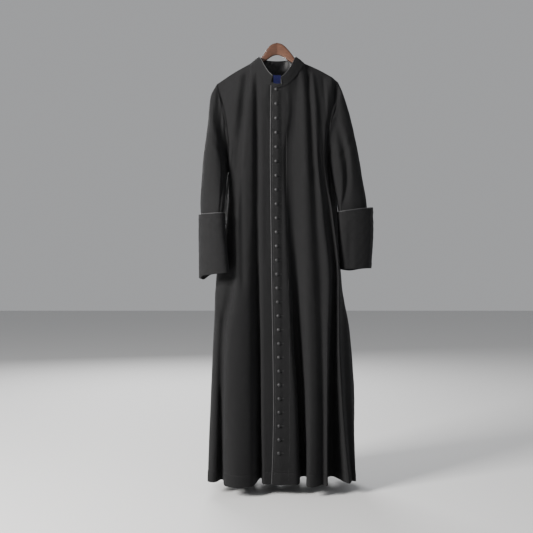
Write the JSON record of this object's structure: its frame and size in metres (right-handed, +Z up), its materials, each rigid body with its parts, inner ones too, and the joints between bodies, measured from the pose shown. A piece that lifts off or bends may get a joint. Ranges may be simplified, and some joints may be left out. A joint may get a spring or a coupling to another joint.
{
  "type": "cassock on hanger",
  "caption": "Full-length black clerical cassock with a stand collar, covered buttons down the front and deep turned-back cuffs, hanging on a flat wooden hanger.",
  "frame": {"origin": "top of the hanger's crown, at the mouth of the hole its hook screws into", "axes": "+Z up along the garment's length, the front faces -Y, and the wearer's right side is at -X"},
  "size_m": [0.6266, 0.2854, 1.5631],
  "materials": {
    "wool_black": "matt wool twill",
    "wool_cuff": "matt wool twill, doubled",
    "satin_black": "satin lining",
    "piping_grey": "satin piping",
    "button_black": "covered in the same cloth",
    "label_blue": "woven, plain",
    "wood_brown": "stained and lacquered"
  },
  "bodies": {
    "root": {"front_right": "wool_black", "front_left": "wool_black", "side_right": "wool_black", "side_left": "wool_black", "back_right": "wool_black", "back_left": "wool_black", "sleeve_right": "wool_black", "sleeve_left": "wool_black", "cuff_right": "wool_cuff", "cuff_left": "wool_cuff", "collar": "wool_black", "collar_lining": "satin_black", "neck_lining": "satin_black", "front_piping": "piping_grey", "collar_piping_right": "piping_grey", "collar_piping_left": "piping_grey", "cuff_piping_right": "piping_grey", "cuff_piping_left": "piping_grey", "label": "label_blue", "hanger": "wood_brown", "button_01": "button_black", "button_02": "button_black", "button_03": "button_black", "button_04": "button_black", "button_05": "button_black", "button_06": "button_black", "button_07": "button_black", "button_08": "button_black", "button_09": "button_black", "button_10": "button_black", "button_11": "button_black", "button_12": "button_black", "button_13": "button_black", "button_14": "button_black", "button_15": "button_black", "button_16": "button_black", "button_17": "button_black", "button_18": "button_black", "button_19": "button_black", "button_20": "button_black", "button_21": "button_black", "button_22": "button_black", "button_23": "button_black", "button_24": "button_black", "button_25": "button_black", "button_26": "button_black", "button_27": "button_black"}
  },
  "joints": []
}
